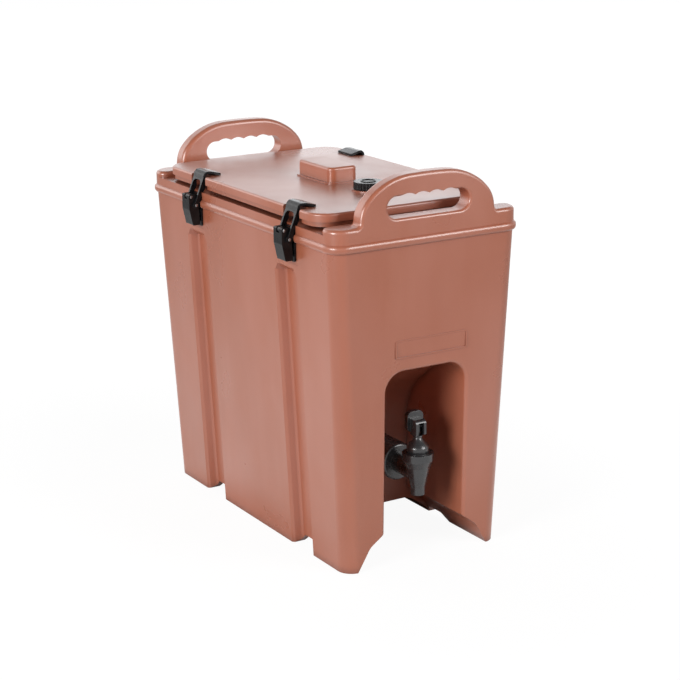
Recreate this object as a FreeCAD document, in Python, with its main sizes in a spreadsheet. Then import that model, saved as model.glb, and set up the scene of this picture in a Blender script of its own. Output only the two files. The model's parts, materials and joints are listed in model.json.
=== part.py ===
import FreeCAD, Part
import math
import os
import Sketcher

# Insulated beverage dispenser: a double-walled moulded case with a lift-off lid,
# four over-centre latches and a self-closing tap in a recess of the front end.
# Millimetres. +Z is up, the origin is on the floor at the middle of the case,
# the tap faces -Y and the long sides face +X and -X.

SIZES = {
    # case, measured over its walls
    "case_width_belt": 229,
    "case_depth_belt": 419,
    "case_width_floor": 196,
    "case_depth_floor": 398,
    "case_corner": 17,
    "belt_height": 355,
    "bead_high": 10,
    "bead_rise": 2.5,
    "bead_proud": 3.5,
    "bead_round": 4.2,
    "collar_proud": 1,
    "rim_height": 371,
    "end_wall_height": 378,
    "end_wall_thick": 28,
    "end_wall_round": 4,
    "well_corner": 9,
    "skin": 4,
    "clear_cut": 30,
    # handles on the end walls
    "handle_top": 428,
    "handle_width": 166,
    "handle_thick": 18.5,
    "handle_shoulder_high": 395.7,
    "handle_shoulder_round": 33,
    "handle_haunch_in": 15.5,
    "handle_haunch_high": 411,
    "handle_haunch_round": 39,
    "handle_crown_in": 37.9,
    "handle_crown_high": 426.6,
    "handle_crown_round": 75,
    "handle_top_round": 400,
    "handle_edge_round": 5,
    "handle_root_round": 5,
    "slot_width": 101.5,
    "slot_low": 382.5,
    "slot_high": 405.5,
    "slot_round": 3,
    "finger_pitch": 17,
    "finger_bow": 16,
    # grooves down the long sides
    "groove_spacing": 206,
    "groove_shift": -3,
    "groove_mouth": 42,
    "groove_bottom": 34,
    "groove_deep": 11,
    "groove_high": 315,
    "groove_runout": 11,
    "groove_round": 4,
    # feet, the tunnel between them and the gaps through them
    "foot_width": 15,
    "tunnel_high": 24.5,
    "tunnel_flat": 104,
    "tunnel_round": 18,
    "notch_high": 10,
    "notch_slope": 9,
    "arch_high": 39,
    "arch_waist": 68,
    "arch_waist_high": 26,
    # recess for the tap
    "recess_width": 100,
    "recess_back": 88,
    "recess_high": 217,
    "recess_corner": 22,
    "recess_edge_round": 4,
    "roof_knee_high": 154,
    "roof_knee_round": 74,
    "roof_bend_forward": 156,
    "roof_bend_round": 129,
    "roof_high": 205,
    "roof_edge_forward": 198,
    # plain frame where a label goes
    "label_width": 90,
    "label_high": 20,
    "label_level": 242,
    "label_shift": 5,
    "label_line": 1.4,
    "label_relief": 0.7,
    "label_corner": 3,
    # tank
    "tank_width": 156,
    "tank_depth": 331,
    "tank_draft_in": 7,
    "tank_corner": 22,
    "tank_floor": 62,
    "tank_step_high": 250,
    "tank_front_wall": 33,
    "fill_hole_radius": 10,
    "fill_hole_back": 60,
    "fill_plug_gap": 0.3,
    "fill_plug_deep": 8,
    "fill_plug_cap_radius": 14,
    "fill_plug_cap_thick": 1.6,
    # lid
    "lid_width": 226,
    "lid_depth": 352,
    "lid_corner": 24,
    "lid_edge_thick": 9,
    "lid_edge_round": 2.5,
    "lid_skirt_in": 2.5,
    "lid_skirt_deep": 5.3,
    "lid_seat_gap": 3.2,
    "lid_plug_gap": 2,
    "lid_plug_deep": 24,
    "lid_plug_round": 4,
    "notch_wide": 34,
    "notch_deep": 12,
    "notch_round": 3,
    "gasket_in": 1,
    "gasket_wide": 6,
    "gasket_gap": 0.1,
    "knob_length": 73,
    "knob_width": 36,
    "knob_shift": -4.5,
    "knob_high": 18,
    "knob_step": 3,
    "knob_step_high": 1.6,
    "knob_corner": 7.5,
    "knob_round": 3,
    # vent in the lid
    "vent_forward": 91,
    "vent_seat_radius": 18,
    "vent_seat_high": 1.8,
    "vent_neck_radius": 9.5,
    "vent_bore": 5,
    "vent_stub_radius": 8,
    "vent_stub_deep": 14,
    "vent_stub_gap": 0.3,
    "vent_cap_radius": 15.4,
    "vent_cap_high": 8,
    "vent_cap_roof": 2,
    "vent_cap_ring": 8.5,
    "vent_cap_ring_wide": 1.2,
    "vent_cap_ring_high": 0.8,
    "vent_lobe": 2.6,
    "vent_washer_thick": 1,
    "vent_gap": 0.3,
    # latches
    "latch_spacing": 213,
    "latch_shift_left": -15,
    "latch_shift_right": 4.5,
    "pad_offset": 113,
    "pad_width": 25,
    "pad_low": 328,
    "bracket_width": 17.8,
    "bracket_low": 331.6,
    "bracket_high": 369,
    "bracket_thick": 2.2,
    "bracket_corner": 2,
    "lug_thick": 5,
    "lug_round": 2.4,
    "lug_gap": 0.3,
    "lever_pivot_out": 13.9,
    "lever_pivot_high": 366.2,
    "link_pivot_out": 9.2,
    "link_pivot_high": 356.8,
    "pin_radius": 1.2,
    "pin_gap": 0.05,
    "pin_head_radius": 2,
    "pin_head_high": 0.35,
    "lever_width": 17.6,
    "lever_wall": 2,
    "lever_face_out": 16.8,
    "lever_top": 368.8,
    "lever_knee": 351.9,
    "lever_foot": 333.4,
    "lever_foot_out": 12.8,
    "lever_back_out": 4.8,
    "lever_back_foot_out": 3.8,
    "lever_corner": 1.5,
    "arm_gap": 0.6,
    "arm_thick": 2.5,
    "arm_boss_radius": 3.6,
    "hook_width": 30,
    "hook_waist_out": -2,
    "hook_wing_out": -12,
    "hook_window_top": 384,
    "hook_window_round": 6,
    "hook_toe_out": 3,
    "hook_toe_up": -0.6,
    "hook_arm_top_out": -8.9,
    "hook_arm_top_up": 28.5,
    "hook_shoulder_out": -10.2,
    "hook_shoulder_up": 34.2,
    "hook_shoulder_round": 3.5,
    "hook_crest_out": -13.7,
    "hook_crest_up": 37,
    "hook_crest_round": 3.5,
    "hook_brow_out": -19.2,
    "hook_brow_up": 37,
    "hook_tip_out": -30,
    "hook_tip_up": 34.4,
    "hook_tip_under_out": -30.2,
    "hook_tip_under_up": 32,
    "hook_tip_rest_out": -26.2,
    "hook_tip_rest_up": 32.1,
    "hook_brow_under_out": -18.7,
    "hook_brow_under_up": 34.6,
    "hook_crest_under_out": -14,
    "hook_crest_under_up": 34.2,
    "hook_shoulder_under_out": -12.8,
    "hook_shoulder_under_up": 32.7,
    "hook_plate_under_out": -11.8,
    "hook_plate_under_up": 28.2,
    "hook_plate_low_out": -11.6,
    "hook_plate_low_up": 18.2,
    "hook_arm_neck_out": -8.4,
    "hook_arm_neck_up": 13.7,
    "hook_arm_under_out": -5.8,
    "hook_arm_under_up": 7.2,
    "hook_heel_out": -3.7,
    "hook_heel_up": 0.2,
    "screw_radius": 1.5,
    "screw_head_radius": 2.6,
    "screw_head_high": 1.2,
    "screw_length": 10,
    "screw_low": 338,
    "screw_high": 360,
    "insert_radius": 2.6,
    "insert_length": 9,
    "insert_gap": 0.05,
    # tap
    "tap_level": 96,
    "tap_reach": 100,
    "shank_radius": 10,
    "shank_bore": 5.5,
    "shank_end_in": 13,
    "shank_gap": 0.3,
    "tap_washer_radius": 19,
    "tap_washer_thick": 2,
    "barrel_radius": 21,
    "barrel_length": 62,
    "barrel_round": 3,
    "neck_radius": 11.5,
    "spout_low": 70.6,
    "spout_radius": 8,
    "spout_bore": 5,
    "spout_straight": 8,
    "cup_low": 102,
    "cup_low_radius": 13.5,
    "cup_swell": 110,
    "cup_radius": 17,
    "cup_top": 118,
    "cup_step_high": 115.5,
    "cup_step_gap": 0.3,
    "chamber_radius": 9,
    "chamber_floor": 90,
    "bonnet_skirt_deep": 6,
    "bonnet_skirt_gap": 0.3,
    "bonnet_flange_radius": 14,
    "bonnet_bell_radius": 10,
    "bonnet_bell_top": 127,
    "bonnet_neck_radius": 4,
    "bonnet_neck_low": 134,
    "bonnet_top_radius": 6.5,
    "bonnet_top_low": 136.3,
    "bonnet_top": 138,
    "stem_radius": 2,
    "stem_foot": 92.5,
    "stem_eye_low": 140,
    "stem_eye_radius": 3,
    "stem_eye_over": 3,
    "stem_gap": 0.3,
    "seal_radius": 7,
    "seal_low": 90.2,
    "seal_top": 95.2,
    "spring_radius": 5.4,
    "spring_wire_radius": 0.55,
    "spring_turns": 5,
    "spring_rest_gap": 0.2,
    "handle_pin_high": 147,
    "handle_pin_radius": 1.25,
    "handle_pin_reach": 7,
    "foot_forward": 7,
    "foot_back": 5,
    "foot_low": 138.5,
    "hub_top": 155.5,
    "hub_round": 5,
    "cheek_half": 6.5,
    "cheek_gap": 0.6,
    "bridge_low": 152,
    "paddle_width": 20,
    "paddle_front_in": 4.5,
    "paddle_thick": 6,
    "paddle_low": 140.5,
    "paddle_top": 163,
    "paddle_round": 6,
    "shank_nut_radius": 16,
    "shank_nut_thick": 8,
}

LOBES = 24
SMALL = 1e-3
SMALL_STEP = 1
ROUND_END = 1.0001

doc = FreeCAD.newDocument("beverage_dispenser")
sheet = doc.addObject("Spreadsheet::Sheet", "Sizes")
for row, (alias, number) in enumerate(SIZES.items(), start=1):
    sheet.set("A%d" % row, alias)
    sheet.set("B%d" % row, str(number))
    sheet.setAlias("B%d" % row, alias)
doc.recompute()


class Size:
    """A number together with the sheet formula that gives it."""

    def __init__(self, value, formula):
        self.value = value
        self.formula = formula

    def join(self, other, sign, value):
        return Size(value, "(%s %s %s)" % (self.formula, sign, as_size(other).formula))

    def __add__(self, other):
        return self.join(other, "+", self.value + as_size(other).value)

    def __sub__(self, other):
        return self.join(other, "-", self.value - as_size(other).value)

    def __mul__(self, other):
        return self.join(other, "*", self.value * as_size(other).value)

    def __truediv__(self, other):
        return self.join(other, "/", self.value / as_size(other).value)

    def __radd__(self, other):
        return as_size(other) + self

    def __rsub__(self, other):
        return as_size(other) - self

    def __rmul__(self, other):
        return as_size(other) * self

    def __neg__(self):
        return as_size(0) - self


def as_size(number):
    if isinstance(number, Size):
        return number
    return Size(float(number), "(%r)" % float(number))


class Sheet:
    """Reads a named size as an attribute."""

    def __getattr__(self, alias):
        return Size(float(SIZES[alias]), "Sizes.%s" % alias)


size = Sheet()


def bind(item, name, number):
    """Sets a property and ties it to its sheet formula."""
    number = as_size(number)
    setattr(item, name, number.value)
    item.setExpression(name, number.formula)


# Bodies and sketches

NORMAL_SIGN = {"XY": 1, "XZ": -1, "YZ": 1}


def new_body(label):
    body = doc.addObject("PartDesign::Body", label)
    body.Label = label
    return body


def set_place(body, x=0, y=0, z=0, turn=0):
    """Places a body, turned about the vertical by a number of degrees."""
    x, y, z = as_size(x), as_size(y), as_size(z)
    body.Placement = FreeCAD.Placement(FreeCAD.Vector(x.value, y.value, z.value),
                                       FreeCAD.Rotation(FreeCAD.Vector(0, 0, 1), turn))
    body.setExpression(".Placement.Base.x", x.formula)
    body.setExpression(".Placement.Base.y", y.formula)
    body.setExpression(".Placement.Base.z", z.formula)


def new_sketch(body, plane, level, shift=(0, 0)):
    """A sketch on one of the body's origin planes, moved to a level along its axis."""
    sketch = body.newObject("Sketcher::SketchObject", "%s_outline" % body.Name)
    role = "%s_Plane" % plane
    origin_plane = [item for item in body.Origin.OriginFeatures if item.Role == role][0]
    sketch.AttachmentSupport = [(origin_plane, "")]
    sketch.MapMode = "FlatFace"
    level = as_size(level) * NORMAL_SIGN[plane]
    across, up = as_size(shift[0]), as_size(shift[1])
    sketch.AttachmentOffset = FreeCAD.Placement(
        FreeCAD.Vector(across.value, up.value, level.value), FreeCAD.Rotation())
    sketch.setExpression(".AttachmentOffset.Base.x", across.formula)
    sketch.setExpression(".AttachmentOffset.Base.y", up.formula)
    sketch.setExpression(".AttachmentOffset.Base.z", level.formula)
    return sketch


def constrain(sketch, number, *description):
    """Adds a dimension to a sketch and ties it to its formula."""
    index = sketch.addConstraint(Sketcher.Constraint(*description, number.value))
    sketch.setExpression("Constraints[%d]" % index, number.formula)


def fix_point(sketch, geometry, end, x, y):
    constrain(sketch, as_size(x), "DistanceX", -1, 1, geometry, end)
    constrain(sketch, as_size(y), "DistanceY", -1, 1, geometry, end)


def unit(start, end):
    step = end - start
    return step / step.Length


def draw(sketch, corners):
    """Draws a closed outline. A corner is (x, y), (x, y, radius) for a rounded one, or
    (x, y, None, bow) where the edge that leaves it is an arc: a positive bow radius
    bends to the left of the way along, a negative one to the right."""
    spots = [FreeCAD.Vector(as_size(c[0]).value, as_size(c[1]).value, 0) for c in corners]
    count = len(corners)
    rounds = [c[2] if len(c) > 2 and c[2] is not None else None for c in corners]
    leave, arrive, arc_centres = [], [], []
    for i, spot in enumerate(spots):
        if rounds[i] is None:
            leave.append(spot)
            arrive.append(spot)
            arc_centres.append(None)
            continue
        back, ahead = unit(spot, spots[i - 1]), unit(spot, spots[(i + 1) % count])
        half = back.getAngle(ahead) / 2
        reach = as_size(rounds[i]).value / math.tan(half)
        arrive.append(spot + back * reach)
        leave.append(spot + ahead * reach)
        inward = unit(FreeCAD.Vector(), back + ahead)
        arc_centres.append(spot + inward * (as_size(rounds[i]).value / math.sin(half)))
    edges = []
    for i, corner in enumerate(corners):
        start, end = leave[i], arrive[(i + 1) % count]
        if len(corner) < 4:
            edges.append(sketch.addGeometry(Part.LineSegment(start, end), False))
            continue
        radius = as_size(corner[3])
        edges.append(sketch.addGeometry(bowed(start, end, radius.value), False))
        constrain(sketch, as_size(math.copysign(1, radius.value)) * radius, "Radius", edges[-1])
    for i, corner in enumerate(corners):
        before, after = edges[i - 1], edges[i]
        before_end = end_at(sketch, before, arrive[i])
        after_end = end_at(sketch, after, leave[i])
        if rounds[i] is None:
            sketch.addConstraint(Sketcher.Constraint("Coincident", before, before_end, after, after_end))
            fix_point(sketch, after, after_end, corner[0], corner[1])
            continue
        mark = sketch.addGeometry(Part.Point(spots[i]), True)
        fix_point(sketch, mark, 1, corner[0], corner[1])
        sketch.addConstraint(Sketcher.Constraint("PointOnObject", mark, 1, before))
        sketch.addConstraint(Sketcher.Constraint("PointOnObject", mark, 1, after))
        arc = sketch.addGeometry(short_arc(arc_centres[i], arrive[i], leave[i]), False)
        arc_start = end_at(sketch, arc, arrive[i])
        arc_end = end_at(sketch, arc, leave[i])
        sketch.addConstraint(Sketcher.Constraint("Tangent", before, before_end, arc, arc_start))
        sketch.addConstraint(Sketcher.Constraint("Tangent", arc, arc_end, after, after_end))
        constrain(sketch, as_size(rounds[i]), "Radius", arc)
    return sketch


def end_at(sketch, geometry, spot):
    """Which end of a line or arc lies at a spot: 1 for its start, 2 for its end."""
    curve = sketch.Geometry[geometry]
    return 1 if curve.StartPoint.distanceToPoint(spot) < curve.EndPoint.distanceToPoint(spot) else 2


def short_arc(centre, start, end):
    """The arc of under half a circle about a centre from start to end."""
    circle = Part.Circle(centre, FreeCAD.Vector(0, 0, 1), centre.distanceToPoint(start))
    first = math.atan2(start.y - centre.y, start.x - centre.x)
    last = math.atan2(end.y - centre.y, end.x - centre.x)
    if (last - first) % (2 * math.pi) > math.pi:
        first, last = last, first
    return Part.ArcOfCircle(circle, first, last)


def bowed(start, end, bow):
    """The arc from start to end that bends to the left for a positive bow radius."""
    middle = (start + end) / 2
    along = unit(start, end)
    left = FreeCAD.Vector(-along.y, along.x, 0)
    half = start.distanceToPoint(end) / 2
    back = math.sqrt(bow * bow - half * half)
    return short_arc(middle - left * math.copysign(back, bow), start, end)


def ring(sketch, radius, x=0, y=0):
    """Draws a circle."""
    x, y, radius = as_size(x), as_size(y), as_size(radius)
    circle = Part.Circle(FreeCAD.Vector(x.value, y.value, 0), FreeCAD.Vector(0, 0, 1), radius.value)
    index = sketch.addGeometry(circle, False)
    fix_point(sketch, index, 3, x, y)
    constrain(sketch, radius, "Radius", index)
    return sketch


def rectangle(width, depth, corner=None, x=0, y=0):
    """The corners of a rectangle about (x, y), rounded alike where a radius is given."""
    tail = () if corner is None else (corner,)
    left, right = as_size(x) - as_size(width) / 2, as_size(x) + as_size(width) / 2
    low, high = as_size(y) - as_size(depth) / 2, as_size(y) + as_size(depth) / 2
    return [(left, low) + tail, (right, low) + tail, (right, high) + tail, (left, high) + tail]


def prism(body, plane, low, high, drawing, cut=False, taper=None, shift=(0, 0)):
    """Adds or cuts the drawing between two levels along the plane's axis. The drawing is
    a list of corners or a function that draws on the sketch."""
    sketch = new_sketch(body, plane, low, shift)
    if callable(drawing):
        drawing(sketch)
    else:
        draw(sketch, drawing)
    doc.recompute()
    kind = "PartDesign::Pocket" if cut else "PartDesign::Pad"
    feature = body.newObject(kind, "%s_%s" % (body.Name, "pocket" if cut else "pad"))
    feature.Profile = sketch
    along_normal = NORMAL_SIGN[plane] > 0
    feature.Reversed = along_normal if cut else not along_normal
    bind(feature, "Length", as_size(high) - low)
    if taper is not None:
        bind(feature, "TaperAngle", taper)
    volume = 0 if body.Shape.isNull() else body.Shape.Volume
    doc.recompute()
    if cut and not body.Shape.Volume < volume:
        raise RuntimeError("a cut in %s removes nothing" % body.Label)
    return feature


def loft(body, sections, cut=False):
    """Adds or cuts the ruled form through outlines at levels above the floor."""
    sketches = []
    for level, corners in sections:
        sketches.append(draw(new_sketch(body, "XY", level), corners))
    doc.recompute()
    kind = "PartDesign::SubtractiveLoft" if cut else "PartDesign::AdditiveLoft"
    feature = body.newObject(kind, "%s_loft" % body.Name)
    feature.Profile = sketches[0]
    feature.Sections = sketches[1:]
    feature.Ruled = True
    doc.recompute()
    return feature


def turned(body, plane, corners, axis, shift=(0, 0), level=0, cut=False):
    """Turns a half outline a full circle about the sketch's own H or V axis."""
    sketch = draw(new_sketch(body, plane, level, shift), corners)
    doc.recompute()
    kind = "PartDesign::Groove" if cut else "PartDesign::Revolution"
    feature = body.newObject(kind, "%s_turned" % body.Name)
    feature.Profile = sketch
    feature.ReferenceAxis = (sketch, ["%s_Axis" % axis])
    feature.Angle = 360
    volume = 0 if body.Shape.isNull() else body.Shape.Volume
    doc.recompute()
    if cut and not body.Shape.Volume < volume:
        raise RuntimeError("a groove in %s removes nothing" % body.Label)
    return feature


def edges_of(feature, wanted):
    """Names of the edges whose box passes the test wanted."""
    return ["Edge%d" % number for number, edge in enumerate(feature.Shape.Edges, start=1)
            if wanted(edge.BoundBox)]


def soften(body, feature, wanted, radius, chamfer=False):
    """Rounds or bevels the wanted edges of a body's last feature."""
    names = edges_of(feature, wanted)
    if not names:
        raise RuntimeError("no edge to soften in %s" % body.Label)
    kind = "PartDesign::Chamfer" if chamfer else "PartDesign::Fillet"
    blend = body.newObject(kind, "%s_soft" % body.Name)
    blend.Base = (feature, names)
    bind(blend, "Size" if chamfer else "Radius", radius)
    doc.recompute()
    return blend


def joined(kind, label, first, *others):
    """A cut, fuse or common of whole bodies."""
    result = first
    for number, other in enumerate(others, start=1):
        item = doc.addObject("Part::%s" % kind, "%s_%d" % (label, number))
        item.Base = result
        item.Tool = other
        result = item
    result.Label = label
    doc.recompute()
    return result


def near(number, wanted):
    """Whether a number lies at a size."""
    return abs(number - as_size(wanted).value) < SMALL


def in_order(first, second):
    """Two sizes, the lower one first."""
    return (first, second) if first.value < second.value else (second, first)


# Places that several pieces share

belt_half_x = size.case_width_belt / 2
belt_half_y = size.case_depth_belt / 2
floor_half_x = size.case_width_floor / 2
floor_half_y = size.case_depth_floor / 2
collar_half_x = belt_half_x + size.collar_proud
collar_half_y = belt_half_y + size.collar_proud
lean_x = (belt_half_x - floor_half_x) / size.belt_height
lean_y = (belt_half_y - floor_half_y) / size.belt_height
latch_rows = {side: {"front": shift - size.latch_spacing / 2, "rear": shift + size.latch_spacing / 2}
              for side, shift in ((-1, size.latch_shift_left), (1, size.latch_shift_right))}
groove_rows = [size.groove_shift - size.groove_spacing / 2, size.groove_shift + size.groove_spacing / 2]
lid_low = size.rim_height + size.lid_seat_gap
lid_ledge = lid_low + size.lid_skirt_deep
lid_top = lid_ledge + size.lid_edge_thick
tap_axis = -(size.recess_back + size.tap_reach)


def wall_x(level):
    """Half width of the case at a level."""
    return floor_half_x + lean_x * level


def wall_y(level):
    """Half depth of the case at a level."""
    return floor_half_y + lean_y * level


# The case


def case_form():
    """The outside of the case with its tap recess, base, grooves, pads and holes."""
    body = new_body("case_form")
    bead_middle = size.belt_height + size.bead_rise
    bead = prism(body, "XY", bead_middle - size.bead_high / 2, bead_middle + size.bead_high / 2,
                 rectangle((belt_half_x + size.bead_proud) * 2, (belt_half_y + size.bead_proud) * 2,
                           size.case_corner + size.bead_proud))
    soften(body, bead, lambda box: box.ZLength < SMALL, size.bead_round)
    loft(body, [
        (0, rectangle(floor_half_x * 2, floor_half_y * 2, size.case_corner)),
        (size.belt_height, rectangle(belt_half_x * 2, belt_half_y * 2, size.case_corner)),
    ])
    prism(body, "XY", size.belt_height, size.end_wall_height,
          rectangle(collar_half_x * 2, collar_half_y * 2, size.case_corner + size.collar_proud))
    prism(body, "XY", size.rim_height, size.end_wall_height + size.clear_cut, well_corners(), cut=True)
    add_handles(body)
    cut_base(body)
    cut_recess(body)
    for side in (-1, 1):
        for row in groove_rows:
            cut_groove(body, side, row, 0)
        for row in latch_rows[side].values():
            cut_pad(body, side, row)
    add_label_frame(body)
    prism(body, "XZ", -size.recess_back - size.skin, size.tank_front_wall - size.recess_back + size.skin,
          lambda sketch: ring(sketch, size.shank_radius + size.shank_gap, 0, size.tap_level), cut=True)
    prism(body, "XY", size.tunnel_high - size.skin, size.tunnel_high + size.fill_plug_deep,
          lambda sketch: ring(sketch, size.fill_hole_radius, 0, size.fill_hole_back), cut=True)
    return body


def well_corners():
    """The space between the end walls, flared at its four corners."""
    reach = collar_half_y - size.end_wall_thick
    outside = collar_half_x + size.clear_cut
    flare = reach + size.well_corner
    corners = []
    for side_x, side_y in ((1, -1), (1, 1), (-1, 1), (-1, -1)):
        inner = ((collar_half_x - size.well_corner) * side_x, reach * side_y)
        middle = (collar_half_x * side_x, flare * side_y)
        outer = (outside * side_x, flare * side_y)
        if side_x == side_y:
            corners += [outer, middle + (None, size.well_corner), inner]
        else:
            corners += [inner + (None, size.well_corner), middle, outer]
    return corners


def handle_corners():
    """Half an oval standing on the end wall. Its outline bends at shoulder, haunch and crown."""
    half = size.handle_width / 2
    foot = size.end_wall_height - size.end_wall_round
    right = [
        (half, size.handle_shoulder_high, size.handle_shoulder_round),
        (half - size.handle_haunch_in, size.handle_haunch_high, size.handle_haunch_round),
        (half - size.handle_crown_in, size.handle_crown_high, size.handle_crown_round),
    ]
    left = [(-x, high, bend) for x, high, bend in reversed(right)]
    return [(-half, foot), (half, foot)] + right + [(0, size.handle_top, size.handle_top_round)] + left


def add_handles(body):
    """A handle on each end wall, flush with its outer face and blended into its top."""
    wall_top = size.end_wall_height
    handle_in = collar_half_y - size.handle_thick
    beside = (size.handle_width / 2 + size.handle_root_round).value + SMALL
    behind = (handle_in - size.handle_root_round).value - SMALL

    def in_face(box, face):
        return box.YLength < SMALL and near(abs(box.YMin), face)

    def on_top(box):
        return box.ZLength < SMALL and near(box.ZMin, wall_top)

    def at_foot(box):
        return (on_top(box) and max(-box.XMin, box.XMax) < beside
                and min(abs(box.YMin), abs(box.YMax)) > behind)

    for low, high in ((-collar_half_y, -handle_in), (handle_in, collar_half_y)):
        handle = prism(body, "XZ", low, high, handle_corners())
    inner_edge = soften(body, handle, lambda box: in_face(box, handle_in)
                        and box.ZMax > wall_top.value + SMALL, size.handle_edge_round)
    root = soften(body, inner_edge, lambda box: at_foot(box) and not in_face(box, collar_half_y),
                  size.handle_root_round)
    soften(body, root, lambda box: (on_top(box) and not at_foot(box))
           or (in_face(box, collar_half_y) and box.ZMin > wall_top.value - SMALL and not on_top(box)),
           size.end_wall_round)
    slot = prism(body, "XZ", -collar_half_y - size.clear_cut, collar_half_y + size.clear_cut,
                 slot_corners(), cut=True)
    soften(body, slot, lambda box: near(box.ZMin, size.slot_low)
           and (in_face(box, collar_half_y) or in_face(box, handle_in)), size.slot_round)


def slot_corners():
    """A slot with rounded ends and four finger hollows along its top."""
    end_round = (size.slot_high - size.slot_low) / 2 * ROUND_END
    flat = size.slot_width / 2 - end_round
    corners = [(-flat, size.slot_low), (flat, size.slot_low, None, -end_round), (flat, size.slot_high)]
    for step in (2, 1, 0, -1):
        corners.append((size.finger_pitch * step, size.slot_high, None, -size.finger_bow))
    corners.append((size.finger_pitch * -2, size.slot_high))
    corners.append((-flat, size.slot_high, None, -end_round))
    return corners


def cut_base(body):
    """The tunnel between the feet, the taller arch in front and the gaps through the feet."""
    inner = floor_half_x - size.foot_width
    flat = size.tunnel_flat / 2
    far = floor_half_y + size.clear_cut
    prism(body, "XZ", -far, far, [
        (-inner, -size.clear_cut),
        (inner, -size.clear_cut),
        (inner, 0),
        (inner - size.foot_width / 2, size.notch_high, size.tunnel_round),
        (flat, size.tunnel_high, size.tunnel_round),
        (-flat, size.tunnel_high, size.tunnel_round),
        (size.foot_width / 2 - inner, size.notch_high, size.tunnel_round),
        (-inner, 0),
    ], cut=True)
    half = size.recess_width / 2
    prism(body, "XZ", -far, -size.recess_back, [
        (-inner, -size.clear_cut),
        (inner, -size.clear_cut),
        (inner, 0),
        (size.arch_waist, size.arch_waist_high, size.tunnel_round),
        (half, size.arch_high),
        (-half, size.arch_high),
        (-size.arch_waist, size.arch_waist_high, size.tunnel_round),
        (-inner, 0),
    ], cut=True)
    side_far = floor_half_x + size.clear_cut
    for row in groove_rows:
        half = size.groove_mouth / 2
        prism(body, "YZ", -side_far, side_far, [
            (row - half, -size.clear_cut),
            (row + half, -size.clear_cut),
            (row + half, 0),
            (row + half - size.notch_slope, size.notch_high, size.groove_round),
            (row - half + size.notch_slope, size.notch_high, size.groove_round),
            (row - half, 0),
        ], cut=True)


def roof_corners(grow):
    """The space under the recess roof from the side, grown by a wall thickness. The back
    wall curves forward into the roof, which rises towards the top of the doorway."""
    far = -collar_half_y - size.clear_cut
    return [
        (far, -size.clear_cut),
        (grow - size.recess_back, -size.clear_cut),
        (grow - size.recess_back, grow + size.roof_knee_high, size.roof_knee_round),
        (grow - size.roof_bend_forward, grow + size.roof_high, size.roof_bend_round),
        (grow - size.roof_edge_forward, grow + size.recess_high),
        (far, grow + size.recess_high),
    ]


def cut_recess(body):
    """The doorway for the tap with a rounded edge, then its curved roof put back."""
    half = size.recess_width / 2
    door = prism(body, "XZ", -collar_half_y - size.clear_cut, -size.recess_back, [
        (-half, -size.clear_cut),
        (half, -size.clear_cut),
        (half, size.recess_high, size.recess_corner),
        (-half, size.recess_high, size.recess_corner),
    ], cut=True)
    soften(body, door, lambda box: box.YMax < -floor_half_y.value + SMALL and box.ZMin > 1
           and box.XMax < half.value + SMALL and box.XMin > -half.value - SMALL
           and box.ZMax < size.recess_high.value + SMALL, size.recess_edge_round)
    knee, bend, edge = roof_corners(as_size(0))[2:5]
    start = size.arch_high + size.skin
    inside = SMALL_STEP - size.recess_back
    prism(body, "YZ", -half, half, [
        (-size.recess_back, start), knee, bend, edge, (inside, size.recess_high), (inside, start)])


def groove_section(side, row, level, deep, grow):
    """A rounded channel with eased edges that opens at the wall, seen from above."""
    bottom = size.groove_bottom / 2 + grow
    knee = size.groove_mouth / 2 + grow
    mouth = knee + size.skin
    inside = (wall_x(level) - deep - grow) * side
    middle = (wall_x(level) - deep - grow + size.groove_deep - size.skin / 2) * side
    outside = (wall_x(level) - deep - grow + size.groove_deep + size.skin) * side
    corners = [
        (inside, row - bottom, size.groove_round),
        (middle, row - knee, size.groove_round),
        (outside, row - mouth - size.skin),
        (outside, row + mouth + size.skin),
        (middle, row + knee, size.groove_round),
        (inside, row + bottom, size.groove_round),
    ]
    return corners if side > 0 else corners[::-1]


def cut_groove(body, side, row, grow):
    """A groove down a long side, which runs out towards the belt."""
    top = size.groove_high + grow
    loft(body, [
        (-size.skin, groove_section(side, row, -size.skin, size.groove_deep, grow)),
        (top, groove_section(side, row, top, size.groove_deep, grow)),
        (top + size.groove_runout, groove_section(side, row, top + size.groove_runout, -size.skin, grow)),
    ], cut=True)


def cut_pad(body, side, row):
    """A flat upright pad for a latch, cut through belt bead and collar, with two holes."""
    half = size.pad_width / 2
    inner, outer = in_order(size.pad_offset * side, (collar_half_x + size.clear_cut) * side)
    prism(body, "XY", size.pad_low, size.rim_height + size.clear_cut, [
        (inner, row - half), (outer, row - half), (outer, row + half), (inner, row + half)], cut=True)
    inner, outer = in_order((size.pad_offset - size.insert_length - size.screw_head_high) * side,
                            size.pad_offset * side)
    prism(body, "YZ", inner, outer, lambda sketch: [
        ring(sketch, size.insert_radius + size.insert_gap, row, size.screw_low),
        ring(sketch, size.insert_radius + size.insert_gap, row, size.screw_high)], cut=True)


def add_label_frame(body):
    """A raised plain frame on the front wall, where a label can go."""
    front = -wall_y(size.label_level)

    def draw_frame(sketch):
        level, shift = size.label_level, size.label_shift
        draw(sketch, rectangle(size.label_width, size.label_high, size.label_corner, shift, level))
        draw(sketch, rectangle(size.label_width - size.label_line * 2, size.label_high - size.label_line * 2,
                               size.label_corner - size.label_line, shift, level))

    prism(body, "XZ", front - size.label_relief, front + size.skin, draw_frame)


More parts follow.
